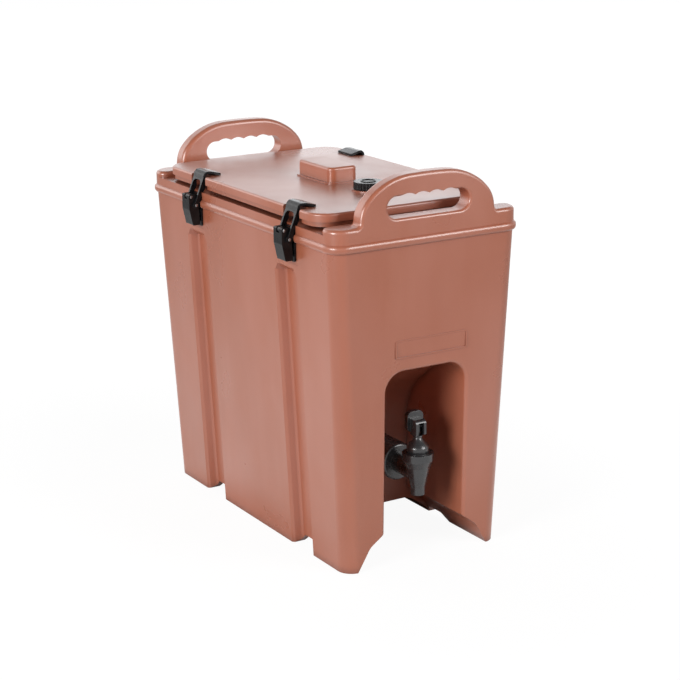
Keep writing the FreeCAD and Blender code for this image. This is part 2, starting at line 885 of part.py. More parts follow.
def tank_form(label, grow):
    """The two-level space of the tank, grown by a wall thickness."""
    body = new_body(label)
    back = size.tank_depth / 2
    front = size.recess_back - size.tank_front_wall

    def section(level, front_end):
        inset = size.tank_draft_in * (size.rim_height - level) / (size.rim_height - size.tank_floor)
        length = back + front_end + grow * 2 - inset
        return rectangle(size.tank_width + grow * 2 - inset * 2, length, size.tank_corner + grow,
                         0, (back - front_end - inset) / 2)

    top = size.rim_height
    floor = size.tank_floor - grow
    step = size.tank_step_high - grow
    loft(body, [(floor, section(floor, front)), (top, section(top, front))])
    loft(body, [(step, section(step, back)), (top, section(top, back))])
    return body


def foam_form(tank_grown):
    """The filling between the walls of the case."""
    body = new_body("foam_form")
    low = size.tunnel_high + size.skin
    high = size.rim_height - size.skin
    loft(body, [(level, rectangle((wall_x(level) - size.skin) * 2, (wall_y(level) - size.skin) * 2,
                                  size.case_corner - size.skin)) for level in (low, high)])
    far = collar_half_x + size.clear_cut
    prism(body, "YZ", -size.recess_width / 2 - size.skin, size.recess_width / 2 + size.skin,
          roof_corners(size.skin), cut=True)
    prism(body, "XZ", -collar_half_y - size.clear_cut, size.skin - size.recess_back, [
        (-far, 0), (far, 0), (far, size.arch_high + size.skin), (-far, size.arch_high + size.skin)],
        cut=True)
    for side in (-1, 1):
        for row in groove_rows:
            cut_groove(body, side, row, size.skin)
        for row in latch_rows[side].values():
            inner, outer = in_order((size.pad_offset - size.insert_length - size.skin) * side, far * side)
            half = size.pad_width / 2
            prism(body, "XY", size.pad_low, high + size.skin, [
                (inner, row - half), (outer, row - half), (outer, row + half), (inner, row + half)],
                cut=True)
    prism(body, "XZ", -size.recess_back, size.tank_front_wall - size.recess_back,
          lambda sketch: ring(sketch, size.shank_radius + size.shank_gap + size.skin, 0, size.tap_level),
          cut=True)
    prism(body, "XY", low, size.tunnel_high + size.fill_plug_deep,
          lambda sketch: ring(sketch, size.fill_hole_radius, 0, size.fill_hole_back), cut=True)
    return joined("Cut", "body_foam", body, tank_grown)


def fill_plug(label, level):
    """A plug with a thin cap, pressed up into a filling hole from below."""
    body = new_body(label)
    cap_low = level - size.fill_plug_cap_thick
    prism(body, "XY", cap_low, level, lambda sketch: ring(sketch, size.fill_plug_cap_radius))
    prism(body, "XY", cap_low, level + size.fill_plug_deep,
          lambda sketch: ring(sketch, size.fill_hole_radius - size.fill_plug_gap))
    set_place(body, 0, size.fill_hole_back, 0)
    return body


# The lid


def lid_rectangle(inset, corner):
    return rectangle(size.lid_width - inset * 2, size.lid_depth - inset * 2, corner)


def plug_rectangle(inset):
    gap = size.lid_plug_gap + inset
    return rectangle(size.tank_width - gap * 2, size.tank_depth - gap * 2, size.tank_corner - gap)


def knob_rectangle(inset):
    return rectangle(size.knob_width - inset * 2, size.knob_length - inset * 2, size.knob_corner - inset,
                     0, size.knob_shift)


def lid_form():
    """The outside of the lid: plug, skirt, edge, grip bar, vent seat and latch notches."""
    body = new_body("lid_form")
    plug_low = lid_low - size.lid_plug_deep
    plug = prism(body, "XY", plug_low, lid_low, plug_rectangle(0))
    soften(body, plug, lambda box: box.ZLength < SMALL and near(box.ZMin, plug_low), size.lid_plug_round)
    edge = prism(body, "XY", lid_ledge, lid_top, lid_rectangle(0, size.lid_corner))
    soften(body, edge, lambda box: box.ZLength < SMALL and near(box.ZMin, lid_top), size.lid_edge_round)
    prism(body, "XY", lid_low, lid_ledge,
          lid_rectangle(size.lid_skirt_in, size.lid_corner - size.lid_skirt_in))
    notch_in = size.lid_width / 2 - size.notch_deep
    outside = size.lid_width / 2 + size.clear_cut
    half = size.notch_wide / 2
    for side in (-1, 1):
        for row in latch_rows[side].values():
            notch = [(notch_in * side, row - half, size.notch_round), (outside * side, row - half),
                     (outside * side, row + half), (notch_in * side, row + half, size.notch_round)]
            prism(body, "XY", lid_low - SMALL_STEP, lid_top + size.clear_cut, notch, cut=True)
    prism(body, "XY", lid_ledge, lid_top + size.knob_step_high, knob_rectangle(-size.knob_step))
    bar_top = lid_top + size.knob_high
    bar = prism(body, "XY", lid_ledge, bar_top, knob_rectangle(as_size(0)))
    soften(body, bar, lambda box: box.ZLength < SMALL and near(box.ZMin, bar_top), size.knob_round)
    prism(body, "XY", lid_ledge, lid_top + size.vent_seat_high,
          lambda sketch: ring(sketch, size.vent_seat_radius, 0, -size.vent_forward))
    prism(body, "XY", plug_low, lid_top + size.vent_seat_high,
          lambda sketch: ring(sketch, size.vent_stub_radius + size.vent_stub_gap, 0, -size.vent_forward),
          cut=True)
    prism(body, "XY", plug_low, plug_low + size.fill_plug_deep,
          lambda sketch: ring(sketch, size.fill_hole_radius, 0, size.fill_hole_back), cut=True)
    return body


def lid_foam_form():
    """The filling inside the plug part and the grip bar of the lid."""
    body = new_body("lid_foam")
    plug_low = lid_low - size.lid_plug_deep
    prism(body, "XY", plug_low + size.skin, lid_top - size.skin, plug_rectangle(size.skin))
    prism(body, "XY", lid_ledge, lid_top + size.knob_high - size.skin, knob_rectangle(size.skin))
    tube = size.vent_stub_radius + size.vent_stub_gap + size.skin
    prism(body, "XY", plug_low, lid_top, lambda sketch: ring(sketch, tube, 0, -size.vent_forward), cut=True)
    prism(body, "XY", plug_low, plug_low + size.fill_plug_deep,
          lambda sketch: ring(sketch, size.fill_hole_radius, 0, size.fill_hole_back), cut=True)
    return body


def gasket():
    body = new_body("lid_gasket")
    inner = size.gasket_in
    outer = size.gasket_in + size.gasket_wide
    prism(body, "XY", size.rim_height + size.gasket_gap, lid_low,
          rectangle(size.tank_width + outer * 2, size.tank_depth + outer * 2, size.tank_corner + outer))
    prism(body, "XY", size.rim_height, lid_low,
          rectangle(size.tank_width + inner * 2, size.tank_depth + inner * 2, size.tank_corner + inner),
          cut=True)
    return body


vent_seat = lid_top + size.vent_seat_high
vent_cap_low = vent_seat + size.vent_gap
vent_cap_top = vent_cap_low + size.vent_cap_high


def vent_pieces():
    """The vent's neck, its soft washer and its lobed cap, on one upright axis."""
    neck = new_body("vent_insert")
    stub = size.vent_stub_radius
    under_roof = vent_cap_top - size.vent_cap_roof
    neck_top = under_roof - size.vent_washer_thick - size.gasket_gap
    turned(neck, "XZ", [
        (size.vent_bore, vent_seat - size.vent_stub_deep),
        (stub, vent_seat - size.vent_stub_deep),
        (stub, vent_seat),
        (size.vent_neck_radius, vent_seat),
        (size.vent_neck_radius, neck_top),
        (size.vent_bore, neck_top),
    ], "V")
    set_place(neck, 0, -size.vent_forward, 0)
    washer = new_body("vent_washer")
    prism(washer, "XY", under_roof - size.vent_washer_thick, under_roof,
          lambda sketch: ring(sketch, size.vent_neck_radius))
    set_place(washer, 0, -size.vent_forward, 0)
    cap = new_body("vent_cap")
    prism(cap, "XY", vent_cap_low, vent_cap_top, lobe_corners())
    prism(cap, "XY", vent_cap_low, under_roof,
          lambda sketch: ring(sketch, size.vent_neck_radius + size.vent_gap), cut=True)
    prism(cap, "XY", under_roof, vent_cap_top + size.vent_cap_ring_high, lambda sketch: [
        ring(sketch, size.vent_cap_ring), ring(sketch, size.vent_cap_ring - size.vent_cap_ring_wide)])
    set_place(cap, 0, -size.vent_forward, 0)
    return [neck, washer, cap]


def lobe_corners():
    """The cap's edge with twenty-four finger lobes."""
    corners = []
    for step in range(LOBES):
        turn = 2 * math.pi * step / LOBES
        corners.append((size.vent_cap_radius * math.cos(turn), size.vent_cap_radius * math.sin(turn),
                        None, -size.vent_lobe))
    return corners


# The latches. Each is drawn in its own frame: +X away from its pad, +Y along the wall,
# +Z up. The frame is turned half round for the side that faces -X.


def latch_body(side, row, name):
    body = new_body(name)
    set_place(body, size.pad_offset * side, row, 0, 0 if side > 0 else 180)
    return body


def both_ways(body, low, high, drawing, cut=False):
    """A pair of prisms mirrored about the middle of a latch."""
    prism(body, "XZ", low, high, drawing, cut)
    prism(body, "XZ", -high, -low, drawing, cut)


def latch_bracket(body):
    """The base plate with the single lug that carries the lever's pin."""
    width = size.bracket_width
    middle = (size.bracket_low + size.bracket_high) / 2
    prism(body, "YZ", 0, size.bracket_thick,
          rectangle(width, size.bracket_high - size.bracket_low, size.bracket_corner, 0, middle))
    out, high = size.lever_pivot_out, size.lever_pivot_high
    reach = size.lug_round
    prism(body, "XZ", -size.lug_thick / 2, size.lug_thick / 2, [
        (size.bracket_thick / 2, high - reach),
        (out, high - reach, None, -reach * ROUND_END),
        (out, high + reach),
        (size.bracket_thick / 2, high + reach),
    ])
    prism(body, "XZ", -size.lug_thick, size.lug_thick,
          lambda sketch: ring(sketch, size.pin_radius + size.pin_gap, out, high), cut=True)
    prism(body, "YZ", 0, size.bracket_thick, lambda sketch: [
        ring(sketch, size.screw_radius + size.insert_gap, 0, size.screw_low),
        ring(sketch, size.screw_radius + size.insert_gap, 0, size.screw_high)], cut=True)


def latch_lever(body):
    """A channel whose outer plate bends in below the knee. Its top is notched for the lug."""
    half = size.lever_width / 2
    prism(body, "XZ", -half, half, [
        (size.lever_face_out, size.lever_top, size.lever_corner),
        (size.lever_back_out, size.lever_top, size.lever_corner),
        (size.lever_back_out, size.lever_knee),
        (size.lever_back_foot_out, size.lever_foot, size.lever_corner),
        (size.lever_foot_out, size.lever_foot, size.lever_corner),
        (size.lever_face_out, size.lever_knee),
    ])
    plate_in = size.lever_face_out - size.lever_wall
    foot_in = size.lever_foot_out - size.lever_wall
    prism(body, "XZ", size.lever_wall - half, half - size.lever_wall, [
        (plate_in, size.lever_top + size.clear_cut),
        (-size.clear_cut, size.lever_top + size.clear_cut),
        (-size.clear_cut, size.lever_foot - size.clear_cut),
        (foot_in, size.lever_foot - size.clear_cut),
        (foot_in, size.lever_foot),
        (plate_in, size.lever_knee),
    ], cut=True)
    notch = size.lug_thick / 2 + size.lug_gap
    notch_low = size.lever_pivot_high - size.lug_round - size.lug_gap * 2
    prism(body, "YZ", plate_in - size.lug_gap, size.lever_face_out + size.clear_cut, [
        (-notch, notch_low),
        (notch, notch_low),
        (notch, size.lever_top + size.clear_cut),
        (-notch, size.lever_top + size.clear_cut),
    ], cut=True)
    prism(body, "XZ", -half, half, lambda sketch: [
        ring(sketch, size.pin_radius + size.pin_gap, size.lever_pivot_out, size.lever_pivot_high),
        ring(sketch, size.pin_radius + size.pin_gap, size.link_pivot_out, size.link_pivot_high)],
        cut=True)


def hook_side():
    """The hook seen from its side: out and up from its lower pin, with a rounding at two
    corners. It runs up its outer face to the tip over the lid, and back underneath."""
    return [
        (size.hook_toe_out, size.hook_toe_up),
        (size.hook_arm_top_out, size.hook_arm_top_up),
        (size.hook_shoulder_out, size.hook_shoulder_up, size.hook_shoulder_round),
        (size.hook_crest_out, size.hook_crest_up, size.hook_crest_round),
        (size.hook_brow_out, size.hook_brow_up),
        (size.hook_tip_out, size.hook_tip_up),
        (size.hook_tip_under_out, size.hook_tip_under_up),
        (size.hook_tip_rest_out, size.hook_tip_rest_up),
        (size.hook_brow_under_out, size.hook_brow_under_up),
        (size.hook_crest_under_out, size.hook_crest_under_up),
        (size.hook_shoulder_under_out, size.hook_shoulder_under_up),
        (size.hook_plate_under_out, size.hook_plate_under_up),
        (size.hook_plate_low_out, size.hook_plate_low_up),
        (size.hook_arm_neck_out, size.hook_arm_neck_up),
        (size.hook_arm_under_out, size.hook_arm_under_up),
        (size.hook_heel_out, size.hook_heel_up),
    ]


def latch_hook(body):
    """The hook: two arms from the lever's sides up to a plate that curls over the lid."""
    half = size.hook_width / 2
    arm_in = size.lever_width / 2 + size.arm_gap
    arm_out = arm_in + size.arm_thick
    link_out, link_high = size.link_pivot_out, size.link_pivot_high
    prism(body, "XZ", -half, half, [
        (link_out + place[0], link_high + place[1]) + place[2:] for place in hook_side()])
    both_ways(body, arm_in, half, lambda sketch: ring(sketch, size.arm_boss_radius, link_out, link_high))
    prism(body, "YZ", size.hook_wing_out, size.clear_cut, [
        (-arm_in, link_high - size.clear_cut),
        (arm_in, link_high - size.clear_cut),
        (arm_in, size.hook_window_top, size.hook_window_round),
        (-arm_in, size.hook_window_top, size.hook_window_round),
    ], cut=True)
    for sign in (-1, 1):
        prism(body, "XY", link_high - size.clear_cut, link_high + size.clear_cut * 2, [
            (size.clear_cut, arm_out * sign),
            (size.hook_waist_out, arm_out * sign),
            (size.hook_wing_out, half * sign),
            (size.hook_wing_out, (half + size.clear_cut) * sign),
            (size.clear_cut, (half + size.clear_cut) * sign),
        ], cut=True)
    prism(body, "XZ", -half, half,
          lambda sketch: ring(sketch, size.pin_radius + size.pin_gap, link_out, link_high), cut=True)


def lever_pin(body):
    """The pin through the lever's sides and the lug, with a low head at each end."""
    half = size.lever_width / 2 + size.pin_gap
    out, high = size.lever_pivot_out, size.lever_pivot_high
    prism(body, "XZ", -half, half, lambda sketch: ring(sketch, size.pin_radius, out, high))
    both_ways(body, half, half + size.pin_head_high,
              lambda sketch: ring(sketch, size.pin_head_radius, out, high))


def link_stub(body, sign):
    """A short pin that joins one arm of the hook to one side of the lever."""
    inner = size.lever_width / 2 - size.lever_wall - size.pin_gap
    outer = size.lever_width / 2 + size.arm_gap + size.arm_thick + size.pin_gap
    out, high = size.link_pivot_out, size.link_pivot_high
    for radius, near_end, far_end in (
            (size.pin_head_radius, inner - size.pin_head_high, inner),
            (size.pin_radius, inner, outer),
            (size.pin_head_radius, outer, outer + size.pin_head_high)):
        low, top = in_order(near_end * sign, far_end * sign)
        prism(body, "XZ", low, top, lambda sketch: ring(sketch, radius, out, high))


def latch_screw(body, level):
    """A pan head screw through the bracket into its insert."""
    turned(body, "XZ", [
        (size.bracket_thick - size.screw_length, 0),
        (size.bracket_thick + size.screw_head_high, 0),
        (size.bracket_thick + size.screw_head_high, size.screw_head_radius / 2),
        (size.bracket_thick, size.screw_head_radius),
        (size.bracket_thick, size.screw_radius),
        (size.bracket_thick - size.screw_length, size.screw_radius),
    ], "H", (0, level))


def latch_insert(body, level):
    """A blind threaded sleeve in the case behind a screw."""
    prism(body, "YZ", -size.insert_length, 0, lambda sketch: [
        ring(sketch, size.insert_radius, 0, level),
        ring(sketch, size.screw_radius + size.insert_gap, 0, level)])


def group(label, members):
    """Several like solids as one piece."""
    compound = doc.addObject("Part::Compound", label)
    compound.Links = members
    compound.Label = label
    doc.recompute()
    return compound


def latch_pieces():
    pieces, screws, inserts = [], [], []
    for side_name, side in (("left", -1), ("right", 1)):
        for row_name, row in latch_rows[side].items():
            stem = "latch_%s_%s" % (side_name, row_name)
            for part, build in (("bracket", latch_bracket), ("lever", latch_lever), ("hook", latch_hook),
                                ("lever_pin", lever_pin)):
                body = latch_body(side, row, "%s_%s" % (stem, part))
                build(body)
                pieces.append(body)
            stubs = []
            for sign in (-1, 1):
                stub = latch_body(side, row, "%s_stub" % stem)
                link_stub(stub, sign)
                stubs.append(stub)
            pieces.append(group("%s_link_pins" % stem, stubs))
            for level in (size.screw_low, size.screw_high):
                screw = latch_body(side, row, "screw")
                latch_screw(screw, level)
                screws.append(screw)
                insert = latch_body(side, row, "insert")
                latch_insert(insert, level)
                inserts.append(insert)
    pieces.append(group("latch_screws", screws))
    pieces.append(group("latch_inserts", inserts))
    return pieces


# The tap. Its barrel lies along Y at the tap level, its spout and stem stand upright.


def on_tap_axis(body):
    set_place(body, 0, tap_axis, 0)


def faucet_body():
    body = new_body("faucet_body")
    reach = size.tap_reach
    back = reach - size.tap_washer_thick
    shank_end = reach + size.tank_front_wall + size.shank_end_in
    chamber = size.chamber_radius
    cup_bore = size.bonnet_flange_radius + size.cup_step_gap
    turned(body, "XZ", [
        (0, size.spout_low),
        (size.spout_radius, size.spout_low),
        (size.spout_radius, size.spout_low + size.spout_straight),
        (size.cup_low_radius, size.cup_low),
        (size.cup_radius, size.cup_swell),
        (size.cup_radius, size.cup_top),
        (0, size.cup_top),
    ], "V")
    prism(body, "XZ", 0, shank_end, lambda sketch: ring(sketch, size.shank_radius, 0, size.tap_level))
    prism(body, "XZ", 0, back - size.barrel_length / 2,
          lambda sketch: ring(sketch, size.neck_radius, 0, size.tap_level))
    barrel = prism(body, "XZ", back - size.barrel_length, back,
                   lambda sketch: ring(sketch, size.barrel_radius, 0, size.tap_level))
    barrel_front = back - size.barrel_length
    soften(body, barrel, lambda box: box.YLength < SMALL and near(box.YMin, barrel_front)
           and box.XLength > size.barrel_radius.value * 2 - 1, size.barrel_round)
    turned(body, "XZ", [
        (0, size.spout_low),
        (size.spout_bore, size.spout_low),
        (size.spout_bore, size.chamber_floor),
        (chamber, size.chamber_floor),
        (chamber, size.cup_step_high),
        (cup_bore, size.cup_step_high),
        (cup_bore, size.cup_top),
        (0, size.cup_top),
    ], "V", cut=True)
    prism(body, "XZ", 0, shank_end, lambda sketch: ring(sketch, size.shank_bore, 0, size.tap_level), cut=True)
    on_tap_axis(body)
    return body


def faucet_bonnet():
    body = new_body("faucet_bonnet")
    bore = size.stem_radius + size.stem_gap
    skirt = size.chamber_radius - size.bonnet_skirt_gap
    low = size.cup_step_high - size.bonnet_skirt_deep
    turned(body, "XZ", [
        (bore, low),
        (skirt, low),
        (skirt, size.cup_step_high),
        (size.bonnet_flange_radius, size.cup_step_high),
        (size.bonnet_flange_radius, size.cup_top),
        (size.bonnet_bell_radius, size.cup_top),
        (size.bonnet_bell_radius, size.bonnet_bell_top, size.bonnet_neck_radius),
        (size.bonnet_neck_radius, size.bonnet_neck_low, size.bonnet_neck_radius),
        (size.bonnet_neck_radius, size.bonnet_top_low),
        (size.bonnet_top_radius, size.bonnet_top_low),
        (size.bonnet_top_radius, size.bonnet_top),
        (bore, size.bonnet_top),
    ], "V")
    on_tap_axis(body)
    return body


def faucet_stem():
    body = new_body("faucet_stem")
    eye_top = size.handle_pin_high + size.stem_eye_over
    turned(body, "XZ", [
        (0, size.stem_foot),
        (size.stem_radius, size.stem_foot),
        (size.stem_radius, size.stem_eye_low),
        (size.stem_eye_radius, size.stem_eye_low + size.stem_radius / 2),
        (size.stem_eye_radius, eye_top, size.stem_radius / 2),
        (0, eye_top),
    ], "V")
    prism(body, "YZ", -size.cheek_half, size.cheek_half,
          lambda sketch: ring(sketch, size.handle_pin_radius + size.pin_gap, 0, size.handle_pin_high),
          cut=True)
    on_tap_axis(body)
    return body


def faucet_seal():
    body = new_body("faucet_seat_cup")
    prism(body, "XY", size.seal_low, size.seal_top, lambda sketch: ring(sketch, size.seal_radius))
    prism(body, "XY", size.stem_foot, size.seal_top, lambda sketch: ring(sketch, size.stem_radius), cut=True)
    on_tap_axis(body)
    return body


def faucet_spring():
    """The closing spring, a round wire wound between the seat cup and the bonnet."""
    body = new_body("faucet_spring")
    wire = size.spring_wire_radius
    low = size.seal_top + size.spring_rest_gap + wire
    high = size.cup_step_high - size.bonnet_skirt_deep - size.spring_rest_gap - wire
    sketch = ring(new_sketch(body, "XZ", 0), wire, size.spring_radius, low)
    doc.recompute()
    coil = body.newObject("PartDesign::AdditiveHelix", "faucet_coil")
    coil.Profile = sketch
    coil.ReferenceAxis = (sketch, ["V_Axis"])
    coil.Mode = "height-turns-angle"
    bind(coil, "Height", high - low)
    bind(coil, "Turns", size.spring_turns)
    doc.recompute()
    on_tap_axis(body)
    return body


def faucet_lever():
    """A fork on the stem's pin with a cam foot, and an upright paddle behind it."""
    body = new_body("faucet_lever")
    foot_front, foot_back = -size.foot_forward, size.foot_back
    paddle_front = size.paddle_front_in
    paddle_back = paddle_front + size.paddle_thick
    prism(body, "YZ", -size.cheek_half, size.cheek_half, [
        (foot_front, size.foot_low, size.pin_radius),
        (foot_back, size.foot_low),
        (foot_back, size.paddle_low),
        (paddle_back, size.paddle_low),
        (paddle_back, size.hub_top),
        (foot_front, size.hub_top, size.hub_round),
    ])
    middle = (size.paddle_low + size.paddle_top) / 2
    prism(body, "XZ", paddle_front, paddle_back,
          rectangle(size.paddle_width, size.paddle_top - size.paddle_low, size.paddle_round, 0, middle))
    slot = size.stem_eye_radius + size.cheek_gap
    prism(body, "XZ", -size.clear_cut, paddle_front, [
        (-slot, size.foot_low - size.clear_cut),
        (slot, size.foot_low - size.clear_cut),
        (slot, size.bridge_low),
        (-slot, size.bridge_low),
    ], cut=True)
    prism(body, "YZ", -size.cheek_half, size.cheek_half,
          lambda sketch: ring(sketch, size.handle_pin_radius + size.pin_gap, 0, size.handle_pin_high),
          cut=True)
    on_tap_axis(body)
    return body


def faucet_lever_pin():
    body = new_body("faucet_lever_pin")
    prism(body, "YZ", -size.handle_pin_reach, size.handle_pin_reach,
          lambda sketch: ring(sketch, size.handle_pin_radius, 0, size.handle_pin_high))
    on_tap_axis(body)
    return body


def flat_ring(label, low, high, outline, bore):
    """A washer or nut on the tap's shank between two places along Y."""
    body = new_body(label)
    prism(body, "XZ", low, high, outline)
    prism(body, "XZ", low, high, lambda sketch: ring(sketch, bore, 0, size.tap_level), cut=True)
    return body


def nut_corners():
    """A hexagon about the shank."""
    return [(size.shank_nut_radius * math.cos(math.pi * step / 3),
             size.tap_level + size.shank_nut_radius * math.sin(math.pi * step / 3)) for step in range(6)]


def shank_pieces():
    thick = size.tap_washer_thick
    bore = size.shank_radius + size.shank_gap
    outside = -size.recess_back
    inside = size.tank_front_wall - size.recess_back

    def round_edge(sketch):
        return ring(sketch, size.tap_washer_radius, 0, size.tap_level)

    return [
        flat_ring("faucet_outer_washer", outside - thick, outside, round_edge, bore),
        flat_ring("faucet_inner_washer", inside, inside + thick, round_edge, bore),
        flat_ring("faucet_shank_nut", inside + thick, inside + thick + size.shank_nut_thick,
                  nut_corners(), bore),
    ]


# Build, check and write the pieces

tank = tank_form("tank_form", as_size(0))
foam = foam_form(tank_form("tank_skin", size.skin))
shell = joined("Cut", "body_shell", case_form(), tank, foam)
lid_foam = lid_foam_form()
pieces = [shell, foam, joined("Cut", "lid_shell", lid_form(), lid_foam), lid_foam, gasket()]
pieces.append(fill_plug("foam_plug", size.tunnel_high))
pieces.append(fill_plug("lid_foam_plug", lid_low - size.lid_plug_deep))
pieces += vent_pieces()
pieces += latch_pieces()
pieces += [faucet_body(), faucet_bonnet(), faucet_stem(), faucet_seal(), faucet_spring(), faucet_lever(),
           faucet_lever_pin()]
pieces += shank_pieces()

doc.recompute()
for item in doc.Objects:
    if "Invalid" in item.State or "Error" in item.State:
        raise RuntimeError("%s does not build" % item.Label)
os.makedirs("parts", exist_ok=True)
for piece in pieces:
    if piece.Shape.isNull() or not piece.Shape.isValid():
        raise RuntimeError("%s has no sound shape" % piece.Label)
    piece.Shape.exportStep("parts/%s.step" % piece.Label)
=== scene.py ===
"""Looks of the insulated beverage dispenser: finishes for its case, lid, latches and tap,
and the camera, light and floor of a plain studio."""

import json
import math

import bpy
import numpy as np
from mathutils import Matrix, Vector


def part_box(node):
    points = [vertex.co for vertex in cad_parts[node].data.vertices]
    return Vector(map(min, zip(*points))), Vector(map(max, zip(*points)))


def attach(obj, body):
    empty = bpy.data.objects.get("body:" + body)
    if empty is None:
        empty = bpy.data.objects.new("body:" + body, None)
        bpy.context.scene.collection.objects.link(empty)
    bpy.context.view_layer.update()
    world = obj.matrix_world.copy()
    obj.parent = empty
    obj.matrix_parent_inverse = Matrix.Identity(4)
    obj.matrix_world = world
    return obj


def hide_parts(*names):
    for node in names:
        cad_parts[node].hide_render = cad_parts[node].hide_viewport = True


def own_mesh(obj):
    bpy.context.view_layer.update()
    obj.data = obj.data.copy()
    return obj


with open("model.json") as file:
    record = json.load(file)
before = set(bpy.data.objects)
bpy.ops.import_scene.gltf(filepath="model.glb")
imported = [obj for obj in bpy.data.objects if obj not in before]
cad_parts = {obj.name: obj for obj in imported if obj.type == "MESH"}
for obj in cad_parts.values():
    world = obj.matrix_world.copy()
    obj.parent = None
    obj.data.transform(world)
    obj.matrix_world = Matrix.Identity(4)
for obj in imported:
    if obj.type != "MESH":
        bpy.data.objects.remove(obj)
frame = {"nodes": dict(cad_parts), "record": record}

MM = 0.001
SHARP_ANGLE = math.radians(35)
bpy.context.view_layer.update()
NODES = frame["nodes"]
WHITE = (1.0, 1.0, 1.0)
COOL_WHITE = (0.93, 0.96, 1.0)
FULL = (0, 1)

# Camera, in metres, degrees and millimetres of lens

CAMERA_PLACE = (-1.04225, -1.77420, 0.77964)
CAMERA_TURN = (74.232, 0.670, -31.014)
CAMERA_LENS = 98.62
CAMERA_REACH = 20
SENSOR = 36.0

# Studio light. A height is the upward part of a direction, 0 at the horizon and 1 overhead

AMBIENT_HEIGHTS = (0.0, 0.8)
AMBIENT = (0.10, 0.06)
GLOSS_HEIGHTS = (0.25, 0.75)
GLOSS = (1, 0.25)
LOW_AIM = (0, 0, 0.2)
LID_AIM = (0, 0, 0.35)
LAMPS = {
    "left": {"place": (-2.7, -0.95, 1.05), "aim": LOW_AIM, "size": 1.2, "power": 66, "colour": WHITE},
    "right": {"place": (1.4, -2.35, 1.3), "aim": LOW_AIM, "size": 1.5, "power": 48, "colour": WHITE},
    "back": {"place": (-1.5, 2.7, 1.4), "aim": LOW_AIM, "size": 2.2, "power": 24, "colour": WHITE},
    "behind": {"place": (1.3, 2.3, 1.25), "aim": LID_AIM, "size": 3.0, "power": 27, "colour": COOL_WHITE},
}

# Floor. Its distances count half widths and half depths of the case

CASE_HALF_WIDTH = 0.115
CASE_HALF_DEPTH = 0.21
FLOOR_MIDDLE = 0.02
FLOOR_RADIUS = 6.0
FLOOR_RINGS = 12
FLOOR_SPOKES = 64
FLOOR_COLOUR = (0.92, 0.92, 0.92)
FLOOR_ROUGHNESS = 0.9
FLOOR_SHEEN = 0.1
FLOOR_TONES = (0.9, 0.93)
FLOOR_CLOUD = {"scale": 2, "detail": 2}
FLOOR_THROWN = (1, 0.35)
FLOOR_WHITE = 1.04
GLOW_DISTANCES = (2, 6)
GLOW = (0.9, 1)
MIRROR_DISTANCES = (3.5, 8)
MIRROR = (1, 0.5)
FOOT_DISTANCES = (1.0, 1.4)

# How much of a noise's spread a finish uses

MOST = (0.3, 0.7)
CORE = (0.35, 0.65)
EDGE_ROUND = 0.5 * MM
EDGE_SAMPLES = 8

# Moulded case

CASE_COLOUR = (0.43, 0.122, 0.057)
CASE_DEEP = (0.405, 0.110, 0.049)
# The pale end of the drift is tinted towards mauve, so its tall patches are partly painted sheen
CASE_PALE_AND_SHEEN = (0.465, 0.155, 0.094)
CASE_FLECK = (0.50, 0.17, 0.10)
CASE_WORN = (0.53, 0.21, 0.14)
# Painted shade: the case colour darkens towards this in crevices, where other surfaces stand close
CASE_PAINTED_SHADE = (0.22, 0.062, 0.034)
CASE_ROUGHNESS = 0.31
CASE_SMOOTHER = 0.05
CASE_ROUGHER = 0.07
CASE_SHEEN = 1.0
CASE_COAT = 0.1
CASE_COAT_ROUGHNESS = 0.28
# Slow colour drift stretched upright: partly random tone, partly painted patches of sheen
CASE_DRIFT_AND_SHEEN = {"scale": 9, "detail": 3, "stretch": (1, 1, 0.4)}
CASE_GRAIN = {"scale": 900, "detail": 2}
CASE_GRAIN_SHARE = (0, 0.16)
CASE_MARKS = {"scale": 40, "detail": 3, "stretch": (1, 1, 0.12)}
CASE_MARKS_SPREAD = (0.55, 0.75)
CASE_MARKS_SHARE = (0, 0.12)
CASE_HANDLING = {"scale": 14, "detail": 5}
CASE_WAVES = {"scale": 3, "detail": 2}
CASE_WAVES_HIGH = 1.8 * MM
CASE_PEEL = {"scale": 420, "detail": 3}
CASE_PEEL_HIGH = 0.04 * MM
# Reach, spread and samples of the painted shade in crevices
PAINTED_SHADE_REACH = 12 * MM
PAINTED_SHADE_SPREAD = (0.35, 0.9)
PAINTED_SHADE_SAMPLES = 8

# Black nylon of the latches and vent

NYLON_COLOUR = (0.007, 0.007, 0.008)
NYLON_WORN = (0.018, 0.018, 0.019)
NYLON_SHEEN = 0.22
NYLON_SMOOTH = 0.18
NYLON_ROUGH = 0.30
NYLON_RUBBED = {"scale": 90, "detail": 5}
NYLON_RUBBED_SPREAD = (0.45, 0.75)
NYLON_HANDLING = {"scale": 60, "detail": 4}
NYLON_GRAIN = {"scale": 1800, "detail": 2}
NYLON_GRAIN_HIGH = 0.04 * MM

# Tap plastic

TAP_COLOUR = (0.015, 0.014, 0.016)
TAP_PALE = (0.027, 0.026, 0.028)
TAP_SHEEN = 0.8
TAP_ROUGHNESS = 0.26
TAP_ROUGHNESS_SPREAD = 0.06
TAP_CLOUD = {"scale": 40, "detail": 3}
TAP_HANDLING = {"scale": 120, "detail": 3}
TAP_FLOW = {"scale": 160, "detail": 2}
TAP_FLOW_HIGH = 0.05 * MM

# Foam, rubber and metal

